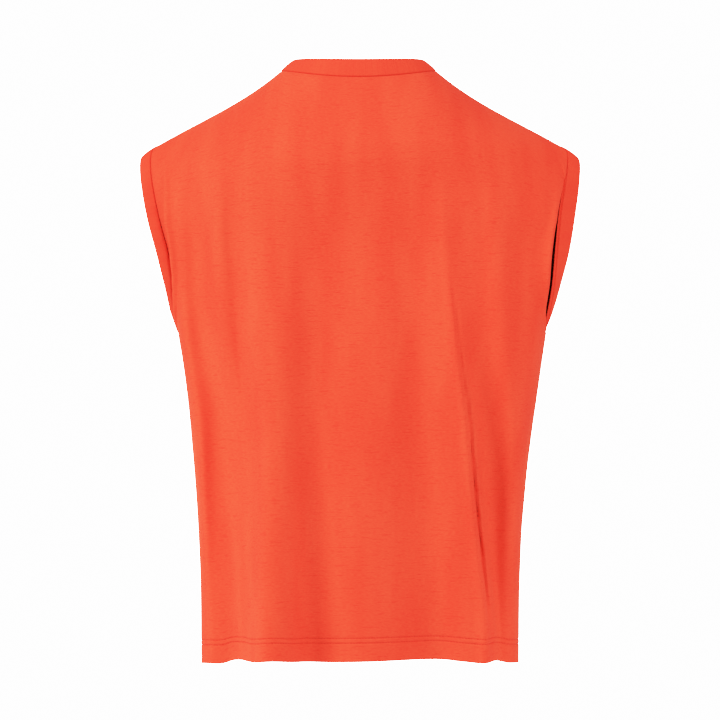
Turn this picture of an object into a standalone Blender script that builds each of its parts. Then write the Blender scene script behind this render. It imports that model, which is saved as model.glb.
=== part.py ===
"""A sleeveless boxy T-shirt in slub jersey, filled out as it is when worn, with no wearer.

Metres, +Z up. The front faces -Y, the back faces +Y and the wearer's left is at +X. The
origin is between the shoulders, where the wearer holds the garment up. Neck, armholes and
hem are open. Sizes below are millimetres, and heights are measured up from the hem.
"""

import bpy
import numpy as np

MM = 0.001

# ---------------------------------------------------------------- driving sizes
HOLD_HEIGHT = 556  # middle of the shoulder line, which the origin is level with
CLOTH = 1.6  # wall of the single jersey
BAND_CLOTH = 2.2  # wall of the folded bands
SEAM_GAP = 0.3  # between panels that meet edge to edge
BAND_GAP = 1.8  # between the middles of a panel's edge and a band's, which meet at an angle

NECK_POINT = {"out": 77, "depth": 4, "height": 594}  # shoulder seam meets the neck
SHOULDER_SAG = 4.3  # how far the shoulder line dips under a straight one, a third of the way out
BACK_NECK = {"depth": 54, "height": 585.5, "fall": 1.6}
FRONT_NECK = {"depth": -96, "height": 506, "fall": 1.35}
COLUMNS = 56  # of each panel's wall, from side to side
NECK_COLUMNS = 11  # of its half, under the neck seam, the rest being under the shoulder
NECK_SHARE = NECK_COLUMNS / (COLUMNS / 2)
BAND_RISE = {"side": 12, "back": 20, "front": 17}  # neckband, seam to top edge
BAND_LEAN = {"side": 12, "back": 7, "front": 8}  # how far that edge leans inwards
BAND_CHANGE = 1.5  # how late these change from the middle of a side towards the back or front
BAND_RINGS = (0, 0.5, 1)  # of the way from a band's seam to its free edge
UNDERARM = 328  # height where the armhole ends and the side seam begins
SQUARENESS = 2.7  # 2 is an ellipse, and more is squarer
SPREAD = 0.8  # how much the cloth fans out sideways from the neck points
SPREAD_FALL = 0.75  # how steeply it falls as it does so, which is the shoulder's own slope
SIDE_DIP = {"left": 8, "right": 6}  # how much lower the hem hangs at the sides
DIP_HEIGHT = 200  # where the cloth is level again
INNER_DEPTH = 40  # a panel's columns are even as far round the side as this depth
INNER_SHARE = 0.6  # and from this share of its half width they begin to follow its edge
FLARE_SHARE = 0.12  # of a panel's half width that turns out to the armhole seam
BLADE = {"height": 442, "slope": 0.9, "round_top": 0.28, "round_foot": 0.40}
CHEST = {"height": 385, "slope": 2.2, "round_top": 0.22, "round_foot": 0.36}


def smooth(at, places, values):
    """A curve through the rows of a table, whose slope at a row comes from its neighbours."""
    slopes = np.gradient(values, places)
    i = np.clip(np.searchsorted(places, at) - 1, 0, len(places) - 2)
    width = places[i + 1] - places[i]
    t = np.clip((at - places[i]) / width, 0, 1)
    ends = (1 + 2 * t) * (1 - t) ** 2 * values[i] + t * t * (3 - 2 * t) * values[i + 1]
    turns = t * (1 - t) ** 2 * slopes[i] - t * t * (1 - t) * slopes[i + 1]
    return ends + turns * width


class Table:
    """Rows under named columns. The first column is the one that the others are read by."""

    def __init__(self, columns, *rows):
        self.names = columns.split()
        self.rows = np.array(rows, float)

    def at(self, place, name):
        return smooth(place, self.rows[:, 0], self.rows[:, self.names.index(name)])


# The hull of the worn garment: how far it reaches to each side, to the back and to the front.
BODY = Table(
    "height left right back front",
    (0, 159, 159, 121, 114),
    (90, 160, 158.5, 121, 116),
    (135, 162, 160, 120.5, 117),
    (176, 165, 166, 120, 118),
    (217, 169, 172, 119.5, 119),
    (258, 174, 178, 119, 120),
    (299, 180, 184, 118.5, 121),
    (330, 185, 189, 118, 121.5),
    (390, 188, 195, 117, 121),
    (426, 190, 199, 116, 118),
    (465, 193, 203, 115, 114),
    (530, 197, 207, 112, 108),
)

# The left armhole, once round from the shoulder tip by the back and the underarm. Out and
# depth place the seam. The edge columns lead on from it to the band's free edge, and
# more_right is how much further out the right seam lies.
ARMHOLE = Table(
    "turn height out depth edge_out edge_up edge_depth more_right",
    (-25, 511.5, 211.5, -16, 11.5, -8, 3, 1.5),
    (0, 518, 205, 0, 12.5, -9, 0, 1.5),
    (25, 511.5, 212, 13, 11.5, -8, -3, 1.5),
    (50, 489, 212, 26, 11, -5, -5, 1),
    (80, 445, 203.5, 38, 12, -2, -6, 3),
    (105, 410, 194, 44, 12.5, 0, -6, 4),
    (130, 375, 188.5, 44, 10, 3, -8, 3.5),
    (155, 343, 185.8, 32, 6.5, 8, -8, 3),
    (180, UNDERARM, 184.8, 3, 4, 14, 0, 4),
    (205, 342, 186, -38, 6, 9, 9, 3),
    (230, 374, 188.5, -54, 9, 4, 10, 2.5),
    (255, 410, 193.5, -58, 11, 0, 9, 2),
    (280, 445, 202, -52, 11.5, -2, 8, 1),
    (310, 489, 210.5, -35, 11, -5, 6, 1),
    (335, 511.5, 211.5, -16, 11.5, -8, 3, 1.5),
    (360, 518, 205, 0, 12.5, -9, 0, 1.5),
    (385, 511.5, 212, 13, 11.5, -8, -3, 1.5),
)

# Depth of each side seam behind the middle of the garment, from the hem up to the underarm.
SIDE_SEAM = Table("height left right", (0, 24, -6), (160, 12, -4), (UNDERARM, 3, 3), (390, 3, 3))

# Folds. Across is where a fold lies to the wearer's left of the middle, at the hem, half way
# up and where it dies out at its top. Rise is how far it stands out of the cloth at the hem,
# or sinks where that is negative, and left and right are how wide its two flanks are.
FOLD_COLUMNS = "across_hem across_half across_top top rise rise_half left right"
BACK_FOLDS = (
    (152, 149, 150, 460, 6, 4, 13, 12),
    (129, 127, 128, 460, -12, -6, 17, 15),
    (86, 84, 84, 490, 16, 10, 23, 24),
    (38, 42, 46, 470, -8, -6, 22, 24),
    (-8, -2, 2, 470, 5, 3, 30, 28),
    (-70, -64, -56, 480, -8, -6, 24, 26),
    (-121, -106, -84, 470, 17, 12, 26, 11),
    (-143, -123, -99, 460, -9, -8, 12, 14),
    (-158, -149, -140, 480, 6, 8, 13, 17),
)
FRONT_FOLDS = (
    (148, 146, 142, 390, 5, 4, 14, 15),
    (118, 118, 116, 410, -10, -6, 20, 18),
    (74, 78, 80, 430, 14, 8, 25, 22),
    (26, 32, 36, 410, -7, -5, 24, 22),
    (-20, -14, -8, 420, 6, 3, 26, 24),
    (-58, -58, -56, 420, -8, -6, 20, 22),
    (-98, -94, -88, 440, 15, 10, 24, 20),
    (-130, -126, -120, 420, -10, -6, 17, 16),
    (-152, -152, -148, 410, 5, 4, 13, 13),
)
SLANT = {"across": -0.45, "reach": 0.55, "lean": -0.16}  # shares of a panel's half width
HALF_WAY = 220  # height of the folds' middle columns
FOLD_END = 0.16  # of a panel's half width, over which they die out towards its edges

# How finely the walls are divided
DOME_ROWS = 8
TOP_CROWDING = 1.6  # more than 1 sets these rows closer together near the top edge
ARMHOLE_ROWS = (1, 0.74, 0.5, 0.3, 0.15, 0.05)  # of the way from the underarm to the dome
HANG_ROWS = 8
NECK_STEPS = 56
ARMHOLE_STEPS = 48

CORAL = (0.89, 0.095, 0.045, 1)
CORAL_RIB = (0.85, 0.085, 0.042, 1)


# ---------------------------------------------------------------- forms
def ease(t):
    """0 to 1 and level at both ends."""
    t = np.clip(t, 0, 1)
    return t * t * (3 - 2 * t)


def armhole_seam(side):
    """Fine points round an armhole seam, by turn: side is 1 on the left and -1 on the right."""
    turn = np.linspace(0, 360, 361)
    out = ARMHOLE.at(turn, "out") + (ARMHOLE.at(turn, "more_right") if side < 0 else 0)
    return turn, np.stack([side * out, ARMHOLE.at(turn, "depth"), ARMHOLE.at(turn, "height")], 1)


def edge_point(height, side, face):
    """Where a panel's edge is at a height: on the armhole, or on the side seam below it."""
    name = "left" if side > 0 else "right"
    if height <= UNDERARM:
        return None, float(SIDE_SEAM.at(height, name))
    turn, seam = armhole_seam(side)
    branch = seam[turn <= 180][::-1] if face > 0 else seam[turn >= 180]
    return (
        side * float(np.interp(height, branch[:, 2], branch[:, 0])),
        float(np.interp(height, branch[:, 2], branch[:, 1])),
    )


def half_section(height, side, face, shares):
    """Points at shares of the way from a panel's middle to its edge, at one height."""
    name = "left" if side > 0 else "right"
    reach, back, front = (float(BODY.at(height, key)) for key in (name, "back", "front"))
    edge_out, edge_depth = edge_point(height, side, face)
    bulge = back if edge_depth > 0 else front
    last = np.arccos(np.sign(edge_depth) * (abs(edge_depth) / bulge) ** (SQUARENESS / 2))
    turn = np.linspace(0, np.pi, 800)
    cosine = np.cos(turn) * face
    out = reach * np.sin(turn) ** (2 / SQUARENESS)
    depth = np.where(cosine > 0, back, front) * np.sign(cosine) * np.abs(cosine) ** (2 / SQUARENESS)
    run = np.append(0, np.cumsum(np.hypot(np.diff(out), np.diff(depth))))
    end = np.interp(last if face > 0 else np.pi - last, turn, run)
    # The inner columns keep their places whatever the edge does, and the outer ones follow it
    inner = np.interp(-INNER_DEPTH, -face * depth, run)
    at = shares * inner + (end - SEAM_GAP / 2 - inner) * ease((shares - INNER_SHARE) / (1 - INNER_SHARE))
    edge_flare = 0 if edge_out is None else edge_out - np.interp(end, run, out)
    out, depth = np.interp(at, run, out), np.interp(at, run, depth)
    out = out + edge_flare * np.clip((shares - 1 + FLARE_SHARE) / FLARE_SHARE, 0, 1) ** 2
    dip = SIDE_DIP[name] * ease(1 - height / DIP_HEIGHT)
    low = 1 - (depth / np.where(depth > 0, back, front)) ** 2
    return np.stack([side * out, depth, height - dip * low], 1)


def section(height, across, face):
    """Points across a panel at one height, from -1 at its right edge to 1 at its left."""
    left, right = across[across >= 0], -across[across < 0][::-1]
    return np.concatenate(
        [half_section(height, -1, face, right)[::-1], half_section(height, 1, face, left)]
    )


def neck_seam(turn):
    """Points on the neck seam: turn is 0 at the middle of the back and pi at the front's."""
    cosine = np.cos(turn)
    middle = {key: np.where(cosine > 0, BACK_NECK[key], FRONT_NECK[key]) for key in BACK_NECK}
    low = np.abs(cosine) ** middle["fall"]
    return np.stack(
        [
            NECK_POINT["out"] * np.sin(turn),
            NECK_POINT["depth"] + (middle["depth"] - NECK_POINT["depth"]) * np.abs(cosine),
            NECK_POINT["height"] + (middle["height"] - NECK_POINT["height"]) * low,
        ],
        -1,
    )


def top_edge(across, face):
    """The panel's top edge: half the neck seam, and a shoulder seam on each side of it."""
    share = np.abs(across)
    quarter = np.clip(share / NECK_SHARE, 0, 1) * np.pi / 2
    side = np.where(across < 0, -1, 1)
    neck = neck_seam(side * (quarter if face > 0 else np.pi - quarter))
    along = np.clip((share - NECK_SHARE) / (1 - NECK_SHARE), 0, 1)
    tip_out = ARMHOLE.at(0, "out") + np.where(side < 0, ARMHOLE.at(0, "more_right"), 0)
    out = NECK_POINT["out"] + (tip_out - NECK_POINT["out"]) * along
    depth = NECK_POINT["depth"] * (1 - along)
    height = NECK_POINT["height"] + (ARMHOLE.at(0, "height") - NECK_POINT["height"]) * along
    sag = SHOULDER_SAG * 27 / 4 * along * (1 - along) ** 2
    shoulder = np.stack([side * out, depth, height - sag], 1)
    return np.where(share[:, None] < NECK_SHARE, neck, shoulder)


def dome(across, face, steps):
    """Rows from the top edge over the shoulders, down to where the panel hangs straight."""
    rest = BLADE if face > 0 else CHEST
    top = top_edge(across, face)
    bottom = section(rest["height"], across, face)
    # The cloth leaves the shoulder seam level, slopes down from the middle of the neck and
    # fans out from the corners between them
    share = np.abs(across)
    steep = rest["slope"] * ease(1 - share / NECK_SHARE)
    beyond = np.clip((share - NECK_SHARE) / (1 - NECK_SHARE), 0, 1)
    fan = np.where(share < NECK_SHARE, np.sin(np.pi / 2 * share / NECK_SHARE), 1 - ease(beyond))
    spread = np.sign(across) * SPREAD * fan
    leave = np.stack(
        [spread, np.full(len(across), float(face)), -steep - SPREAD_FALL * np.abs(spread)], 1
    )
    leave /= np.linalg.norm(leave, axis=1)[:, None]
    drop = np.linalg.norm(bottom - top, axis=1)[:, None]
    first = top + leave * drop * rest["round_top"]
    second = bottom + np.array([0, 0, 1]) * (top - bottom)[:, 2:] * rest["round_foot"]
    length = drop[:, 0].mean()
    rows = []
    for t in np.linspace((SEAM_GAP / length) ** (1 / TOP_CROWDING), 1, steps + 1)[:-1] ** TOP_CROWDING:
        point = (
            (1 - t) ** 3 * top + 3 * t * (1 - t) ** 2 * first + 3 * t * t * (1 - t) * second + t**3 * bottom
        )
        rows.append(fit_armhole(point, across, face))
    return rows


def fit_armhole(point, across, face):
    """Moves the ends of a dome row onto the armhole seams, and less and less further in."""
    point = point.copy()
    for side in (-1, 1):
        end = 0 if side < 0 else -1
        out, depth = edge_point(point[end, 2], side, face)
        shift = np.array([side * out - point[end, 0], depth - point[end, 1], 0])
        weight = np.clip((side * across - 1 + 3 * FLARE_SHARE) / (3 * FLARE_SHARE), 0, 1) ** 2
        point += weight[:, None] * shift
    return point


def fold_height(point, across, folds):
    """How far the folds lift the cloth at each point, dying out at the panel's edges."""
    x, height = point[..., 0], point[..., 2]
    lift = np.zeros_like(x)
    for row in folds:
        fold = dict(zip(FOLD_COLUMNS.split(), row))
        marks = np.array([0, HALF_WAY, fold["top"]], float)
        lies = [fold["across_hem"], fold["across_half"], fold["across_top"]]
        rises = [fold["rise"], fold["rise_half"], 0]
        off = x - smooth(height, marks, np.array(lies, float))
        width = np.where(off > 0, fold["left"], fold["right"])
        rise = np.interp(height, marks, rises)
        lift += rise * np.exp(-((off / width) ** 2))
    return lift * ease((1 - np.abs(across)) / FOLD_END)


def normals(point):
    """Outward unit normals of a grid of points whose rows run down and columns to the left."""
    down, left = np.gradient(point, axis=0), np.gradient(point, axis=1)
    normal = np.cross(left, down)
    return normal / np.linalg.norm(normal, axis=2)[..., None]


def leaning(across, height):
    """A back row's columns at a height, where they lean along with its long slanting fold."""
    near = np.clip(np.abs(across - SLANT["across"]) / SLANT["reach"], 0, 1)
    return across + SLANT["lean"] * (1 - height / BLADE["height"]) * np.cos(np.pi / 2 * near) ** 2


def panel(face, folds):
    """The middle surface of the back (face 1) or the front (face -1) as a grid of points."""
    across = np.linspace(-1, 1, COLUMNS + 1)
    rest = (BLADE if face > 0 else CHEST)["height"]
    heights = [UNDERARM + (rest - UNDERARM) * share for share in ARMHOLE_ROWS]
    heights += list(np.linspace(UNDERARM, 0, HANG_ROWS + 1))
    wide = [leaning(across, height) if face > 0 else across for height in heights]
    hanging = [section(height, places, face) for height, places in zip(heights, wide)]
    point = np.array(dome(across, face, DOME_ROWS) + hanging)
    places = np.array([across] * DOME_ROWS + wide)
    outward = normals(point) * face
    return point + outward * fold_height(point, places, folds)[..., None]


def neckband():
    """The neckband as a closed strip of three rings, from just above the seam to its top."""
    turn = np.linspace(0, 2 * np.pi, NECK_STEPS, endpoint=False)
    seam, cosine = neck_seam(turn), np.cos(turn)
    inward = np.stack([-np.sin(turn), -cosine, 0 * turn], 1)
    share = np.abs(cosine)[:, None] ** BAND_CHANGE
    rise, lean = (
        size["side"] + (np.where(cosine > 0, size["back"], size["front"])[:, None] - size["side"]) * share
        for size in (BAND_RISE, BAND_LEAN)
    )
    edge = inward * lean + np.array([0, 0, 1]) * rise
    start = BAND_GAP / np.linalg.norm(edge, axis=1)[:, None]
    return np.array([seam + edge * (start + (1 - start) * t) for t in BAND_RINGS])


def armhole_band(side):
    """An armhole band as a closed strip of three rings, from the seam to its free edge."""
    turn = np.linspace(0, 360, ARMHOLE_STEPS, endpoint=False)
    fine, ring = armhole_seam(side)
    seam = np.stack([np.interp(turn, fine, ring[:, k]) for k in range(3)], 1)
    edge = np.stack([ARMHOLE.at(turn, f"edge_{key}") for key in ("out", "depth", "up")], 1)
    edge[:, 0] *= side
    start = BAND_GAP / np.linalg.norm(edge, axis=1)[:, None]
    return np.array([seam + edge * (start + (1 - start) * t) for t in BAND_RINGS])


# ---------------------------------------------------------------- solids
def material(name, colour, roughness):
    made = bpy.data.materials.new(name)
    made.use_nodes = True
    shader = made.node_tree.nodes["Principled BSDF"]
    shader.inputs["Base Color"].default_value = colour
    shader.inputs["Roughness"].default_value = roughness
    shader.inputs["Metallic"].default_value = 0
    return made


def cloth(name, grid, wall, look, collection, ring=False):
    """A wall of cloth on a grid of points, which closes on itself if it is a ring."""
    rows, columns = grid.shape[:2]
    place = grid.reshape(-1, 3) - np.array([0, 0, HOLD_HEIGHT])
    faces = []
    for r in range(rows - 1):
        for c in range(columns if ring else columns - 1):
            n = (c + 1) % columns
            corners = (r * columns + c, r * columns + n, (r + 1) * columns + n, (r + 1) * columns + c)
            faces.append(corners)
    mesh = bpy.data.meshes.new(name)
    mesh.from_pydata((place * MM).tolist(), [], faces)
    mesh.materials.append(look)
    mesh.shade_smooth()
    made = bpy.data.objects.new(name, mesh)
    collection.objects.link(made)
    shell = made.modifiers.new("wall", "SOLIDIFY")
    shell.thickness = wall * MM
    shell.offset = 0
    shell.use_even_offset = True
    return made


def main():
    for old in list(bpy.data.objects):
        bpy.data.objects.remove(old)
    garment = bpy.data.collections.new("sleeveless_tshirt")
    bpy.context.scene.collection.children.link(garment)
    jersey = material("coral_jersey", CORAL, 0.85)
    rib = material("coral_rib", CORAL_RIB, 0.85)
    cloth("back_panel", panel(1, BACK_FOLDS), CLOTH, jersey, garment)
    cloth("front_panel", panel(-1, FRONT_FOLDS), CLOTH, jersey, garment)
    cloth("neckband", neckband(), BAND_CLOTH, rib, garment, ring=True)
    cloth("armhole_band_left", armhole_band(1), BAND_CLOTH, rib, garment, ring=True)
    cloth("armhole_band_right", armhole_band(-1), BAND_CLOTH, rib, garment, ring=True)


main()
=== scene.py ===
import bpy
import numpy as np
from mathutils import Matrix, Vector


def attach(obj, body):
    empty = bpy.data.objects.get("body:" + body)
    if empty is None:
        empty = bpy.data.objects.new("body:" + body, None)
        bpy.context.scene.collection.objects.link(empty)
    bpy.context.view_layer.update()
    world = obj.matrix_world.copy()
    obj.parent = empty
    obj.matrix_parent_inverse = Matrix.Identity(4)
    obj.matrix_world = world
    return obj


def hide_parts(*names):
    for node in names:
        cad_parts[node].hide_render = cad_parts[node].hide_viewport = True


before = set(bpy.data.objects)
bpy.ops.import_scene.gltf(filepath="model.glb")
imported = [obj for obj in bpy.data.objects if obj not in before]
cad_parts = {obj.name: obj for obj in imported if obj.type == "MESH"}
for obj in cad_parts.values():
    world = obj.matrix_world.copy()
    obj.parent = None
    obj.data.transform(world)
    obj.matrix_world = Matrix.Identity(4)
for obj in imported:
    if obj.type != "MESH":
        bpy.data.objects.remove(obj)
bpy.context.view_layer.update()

# The looks of a sleeveless boxy T-shirt in coral slub jersey, filled out with no wearer.
# Sizes are millimetres until a mesh is made. Heights are measured up from the hem, the back
# faces +Y and the wearer's left is at +X, which is on the picture's left.
MM = 0.001

# ---------------------------------------------------------------- the garment's cut and form
HOLD_HEIGHT = 556  # middle of the shoulder line, which the frame's origin is level with
JERSEY = 0.9  # thickness of one layer
HEM_LAYERS = 1.7  # and of the turned-up hem
BAND = 2.0  # and of the folded bands
BAND_GAP = 0.7  # between a panel's edge and a band's outer face
BAND_ROUNDING = 0.6  # how far a band bulges between its edges
TUCK = 2.0  # how far a band's seam allowance lies inside the cloth
TUCK_START = -0.6  # from the seam, outward: where the allowance is all the way in
TUCK_END = 0.8  # and where the band is out at its own place
TUCK_THICK = 1.0  # thickness of the allowance
NECK_ALLOWANCE = np.array([[-4.5, -2.5, -0.6, 0.0, 0.35]])  # its points across, from the seam
ARM_ALLOWANCE = np.array([[-1.2, -0.9, -0.6, 0.0, 0.35]])
BAND_STEPS = np.array([[0, 0.04, 0.1, 0.2, 0.34, 0.5, 0.64, 0.78, 0.88, 0.94, 0.975, 0.992, 1]])
SEAM_SINK = 0.6  # how far a panel's edge turns in at a seam
SEAM_REACH = 1.6  # from this far away
LIP = 0.3  # of flat cloth between a seam and the pit beside it

NECK_POINT = {"out": 79, "depth": 4, "height": 595}  # where neck and shoulder seams meet
NECK_SHIFT = 0.8  # of the whole neck, to the left
SHOULDER_SAG = 4.2  # most that a shoulder seam sags below a straight line between its ends
BACK_NECK = {"depth": 54, "height": 586.6, "fall": 2.2}  # the seam's middle, and its curve there
FRONT_NECK = {"depth": -96, "height": 506, "fall": 1.35}
NECK_SHARE = 11 / 28  # of a panel's half width, under the neck seam
BAND_RISE = {"side": 10.5, "back": 18.6, "front": 17}  # of the neckband, above its seam
BAND_LEAN = {"side": 12.5, "back": 7, "front": 8}  # and towards the middle of the neck
BAND_CHANGE = 1.5  # how late these change, on the way from a side to a middle
UNDERARM = 328  # height of the armholes' lowest point
SQUARENESS = 3.2  # of the body's level sections: 2 is an ellipse
SPREAD = 0.8  # how far sideways the cloth leaves the ends of the neck
SPREAD_FALL = 0.75  # and how far down
SIDE_DIP = {"left": 8, "right": 6}  # how far the hem's sides hang below its middles
DIP_HEIGHT = 200  # where that begins
INNER_DEPTH = 40  # of a section, where the even columns end and those of its side begin
INNER_SHARE = 0.6  # of the half width, where those of the side begin to count
FLARE_SHARE = 0.12  # of the half width, where the cloth flares out to an armhole
DOME_FLARE = 3 * FLARE_SHARE  # and over the shoulders
BLADE = {"height": 442, "slope": 0.9, "round_top": 0.28, "round_foot": 0.40}  # back's fullest
CHEST = {"height": 385, "slope": 2.2, "round_top": 0.22, "round_foot": 0.36}  # front's fullest
HALF_WAY = 220  # height of the large folds' middle
FOLD_END = 0.16  # share of the half width where the large folds die out
CREASE_END = 0.035  # and the creases
SLANT = {"across": -0.45, "reach": 0.55, "lean": -0.16}  # of the back's columns, along its fold
SOFTENING = 0.5  # how fast the top edge's corners round off below it
SOFTEST = 20  # and how far at most
CREASE_SPAN = 340  # across which what the creases rise in all is lost again


def smooth(at, places, values):
    """A curve through the rows of a table, whose slope at a row comes from its neighbours."""
    slopes = np.gradient(values, places)
    i = np.clip(np.searchsorted(places, at) - 1, 0, len(places) - 2)
    width = places[i + 1] - places[i]
    t = np.clip((at - places[i]) / width, 0, 1)
    ends = (1 + 2 * t) * (1 - t) ** 2 * values[i] + t * t * (3 - 2 * t) * values[i + 1]
    turns = t * (1 - t) ** 2 * slopes[i] - t * t * (1 - t) * slopes[i + 1]
    return ends + turns * width


class Table:
    """Rows under named columns. The first column is the one that the others are read by."""

    def __init__(self, columns, *rows):
        self.names = columns.split()
        self.rows = np.array(rows, float)

    def at(self, place, name):
        """A column's value at each place."""
        return smooth(place, self.rows[:, 0], self.rows[:, self.names.index(name)])

    def each(self):
        """The rows, each with its values by name."""
        return [dict(zip(self.names, row)) for row in self.rows]


BODY = Table(
    "height left right back front",
    (0, 159, 159, 121, 114),
    (90, 160.5, 158.5, 121, 116),
    (135, 163.5, 160.5, 120.5, 117),
    (176, 166.8, 166.5, 120, 118),
    (217, 170.5, 173.5, 119.5, 119),
    (258, 174.5, 180, 119, 120),
    (299, 180, 186, 118.5, 121),
    (330, 185, 190.5, 118, 121.5),
    (390, 188, 195, 117, 121),
    (426, 190, 199, 116, 118),
    (465, 193, 203, 115, 114),
    (530, 197, 207, 112, 108),
)
ARMHOLE = Table(
    "turn height out depth edge_out edge_up edge_depth more_right back_right wider_right"
    " tilt_left tilt_right",
    (-25, 512, 211.5, -16, 11.5, -8, 3, 0, 0, 0, 0, 0),
    (0, 519, 205, 0, 12.5, -9, 0, -2, 0, 0, 0, 0),
    (25, 512, 212, 13, 11.5, -8, -3, 0, 0, 1, 2, 0),
    (50, 489, 212, 26, 11, -5, -7, -1.5, 2, 3, 7, 0),
    (80, 445, 203.5, 38, 12, -2, -8, 0, 14, 3, 10, -4),
    (105, 410, 194, 44, 12.5, 0, -9, 6, 17, 0, 11, -5),
    (130, 375, 188.5, 44, 10, 3, -10, 8.5, 16, -3, 11, -4),
    (155, 343, 185.8, 32, 6.5, 8, -9, 6, 12, -2, 7, -2),
    (180, UNDERARM, 184.8, 3, 4, 14, 0, 3, 0, 0, 0, 0),
    (205, 342, 186, -38, 6, 9, 9, 3, 0, 0, 0, 0),
    (230, 374, 188.5, -54, 9, 4, 10, 2.5, 0, 0, 0, 0),
    (255, 410, 193.5, -58, 11, 0, 9, 2, 0, 0, 0, 0),
    (280, 445, 202, -52, 11.5, -2, 8, 1, 0, 0, 0, 0),
    (310, 489, 210.5, -35, 11, -5, 6, 1, 0, 0, 0, 0),
    (335, 512, 211.5, -16, 11.5, -8, 3, 0, 0, 0, 0, 0),
    (360, 519, 205, 0, 12.5, -9, 0, -2, 0, 0, 0, 0),
    (385, 512, 212, 13, 11.5, -8, -3, 0, 0, 1, 2, 0),
)
SIDE_SEAM = Table("height left right", (0, 24, -6), (160, 12, -4), (UNDERARM, 3, 3), (390, 3, 3))

# The large folds, which the solids have too
FOLD_COLUMNS = "across_hem across_half across_top top rise rise_half left right"
BACK_FOLDS = Table(
    FOLD_COLUMNS,
    (152, 149, 150, 460, 6, 4, 13, 12),
    (129, 127, 128, 460, -12, -6, 17, 15),
    (86, 84, 84, 490, 16, 10, 23, 24),
    (38, 42, 46, 470, -8, -6, 22, 24),
    (-8, -2, 2, 470, 5, 3, 30, 28),
    (-70, -64, -56, 480, -8, -6, 24, 26),
    (-121, -106, -84, 470, 13, 9, 26, 19),
    (-146, -128, -106, 460, -5, -5, 14, 15),
    (-158, -149, -140, 480, 6, 8, 13, 17),
)
FRONT_FOLDS = Table(
    FOLD_COLUMNS,
    (148, 146, 142, 390, 5, 4, 14, 15),
    (118, 118, 116, 410, -10, -6, 20, 18),
    (74, 78, 80, 430, 14, 8, 25, 22),
    (26, 32, 36, 410, -7, -5, 24, 22),
    (-20, -14, -8, 420, 6, 3, 26, 24),
    (-58, -58, -56, 420, -8, -6, 20, 22),
    (-98, -94, -88, 440, 15, 10, 24, 20),
    (-130, -126, -120, 420, -10, -6, 17, 16),
    (-152, -152, -148, 410, 5, 4, 13, 13),
)

# Creases as flanks, from the wearer's left to the right. Each has, by height, the place across
# where the cloth rises towards the right (or falls, where rise is below zero), how far, and the
# flank's half width.
CREASE_COLUMNS = "height across rise width"
BACK_CREASES = (
    Table(
        CREASE_COLUMNS,
        (40, 148, -6, 7),
        (140, 153, -17, 7),
        (240, 158, -33, 9),
        (340, 172, -35, 11),
        (435, 178, -26, 12),
        (500, 180, 0, 12),
    ),
    Table(
        CREASE_COLUMNS,
        (40, 123, 8, 8),
        (140, 127, 9, 9),
        (240, 135, 11, 9),
        (340, 146, 13, 8),
        (435, 150, 9, 6),
        (500, 148, 0, 6),
    ),
    Table(
        CREASE_COLUMNS,
        (40, 97, 0, 4),
        (140, 112, -1, 4),
        (240, 118, -3, 4),
        (340, 127, -4, 4),
        (435, 135, -4, 4),
        (500, 135, 0, 4),
    ),
    Table(
        CREASE_COLUMNS,
        (40, 109, 18, 7),
        (140, 105, 17, 6),
        (240, 104, 13, 6),
        (340, 113, 7, 7),
        (435, 116, 4, 8),
        (500, 116, 0, 8),
    ),
    Table(
        CREASE_COLUMNS,
        (40, 62, -9, 6),
        (140, 63, -7, 7),
        (240, 66, -4, 14),
        (340, 59, -3.5, 20),
        (435, 59, -2, 25),
        (500, 59, 0, 25),
    ),
    Table(
        CREASE_COLUMNS,
        (40, 41, 6, 10),
        (140, 34, 4.5, 14),
        (240, 14, 4, 20),
        (340, -6, 3, 20),
        (435, -13, 2, 20),
        (500, -13, 0, 20),
    ),
    Table(
        CREASE_COLUMNS,
        (40, -48, -4, 16),
        (140, -38, -4, 14),
        (240, -37, -4, 12),
        (340, -37, -3.5, 12),
        (435, -40, -1.5, 12),
        (500, -40, 0, 12),
    ),
    Table(
        CREASE_COLUMNS,
        (40, -90, 5, 9),
        (140, -83, 4, 12),
        (240, -76, 4, 12),
        (340, -72, 3, 12),
        (435, -70, 3, 10),
        (500, -70, 0, 10),
    ),
    Table(
        CREASE_COLUMNS,
        (40, -121, 9, 4),
        (140, -110, 9, 4),
        (240, -100, 7, 4),
        (340, -89, 4, 4),
        (435, -80, 2, 5),
        (500, -80, 0, 5),
    ),
    Table(
        CREASE_COLUMNS,
        (40, -133, -9, 3.5),
        (140, -122, -9, 3),
        (240, -113, -6, 3),
        (340, -100, -3, 3),
        (435, -88, -1.5, 4),
        (500, -88, 0, 4),
    ),
    Table(
        CREASE_COLUMNS,
        (40, -142, 4, 8),
        (140, -131, 4, 8),
        (240, -125, 3, 10),
        (340, -110, 2, 8),
        (435, -108, 0, 8),
        (500, -108, 0, 8),
    ),
    Table(
        CREASE_COLUMNS,
        (40, -143, 17, 8),
        (140, -144, 17, 8),
        (240, -148, 10, 9),
        (340, -134, 5, 5),
        (435, -129, 3, 6),
        (500, -129, 0, 6),
    ),
    Table(
        CREASE_COLUMNS,
        (40, -164, 0, 8),
        (140, -164, 0, 8),
        (240, -164, 3, 8),
        (340, -168, 9, 12),
        (435, -182, 20, 14),
        (480, -182, 16, 17),
        (518, -182, 0, 18),
    ),
)
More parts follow.
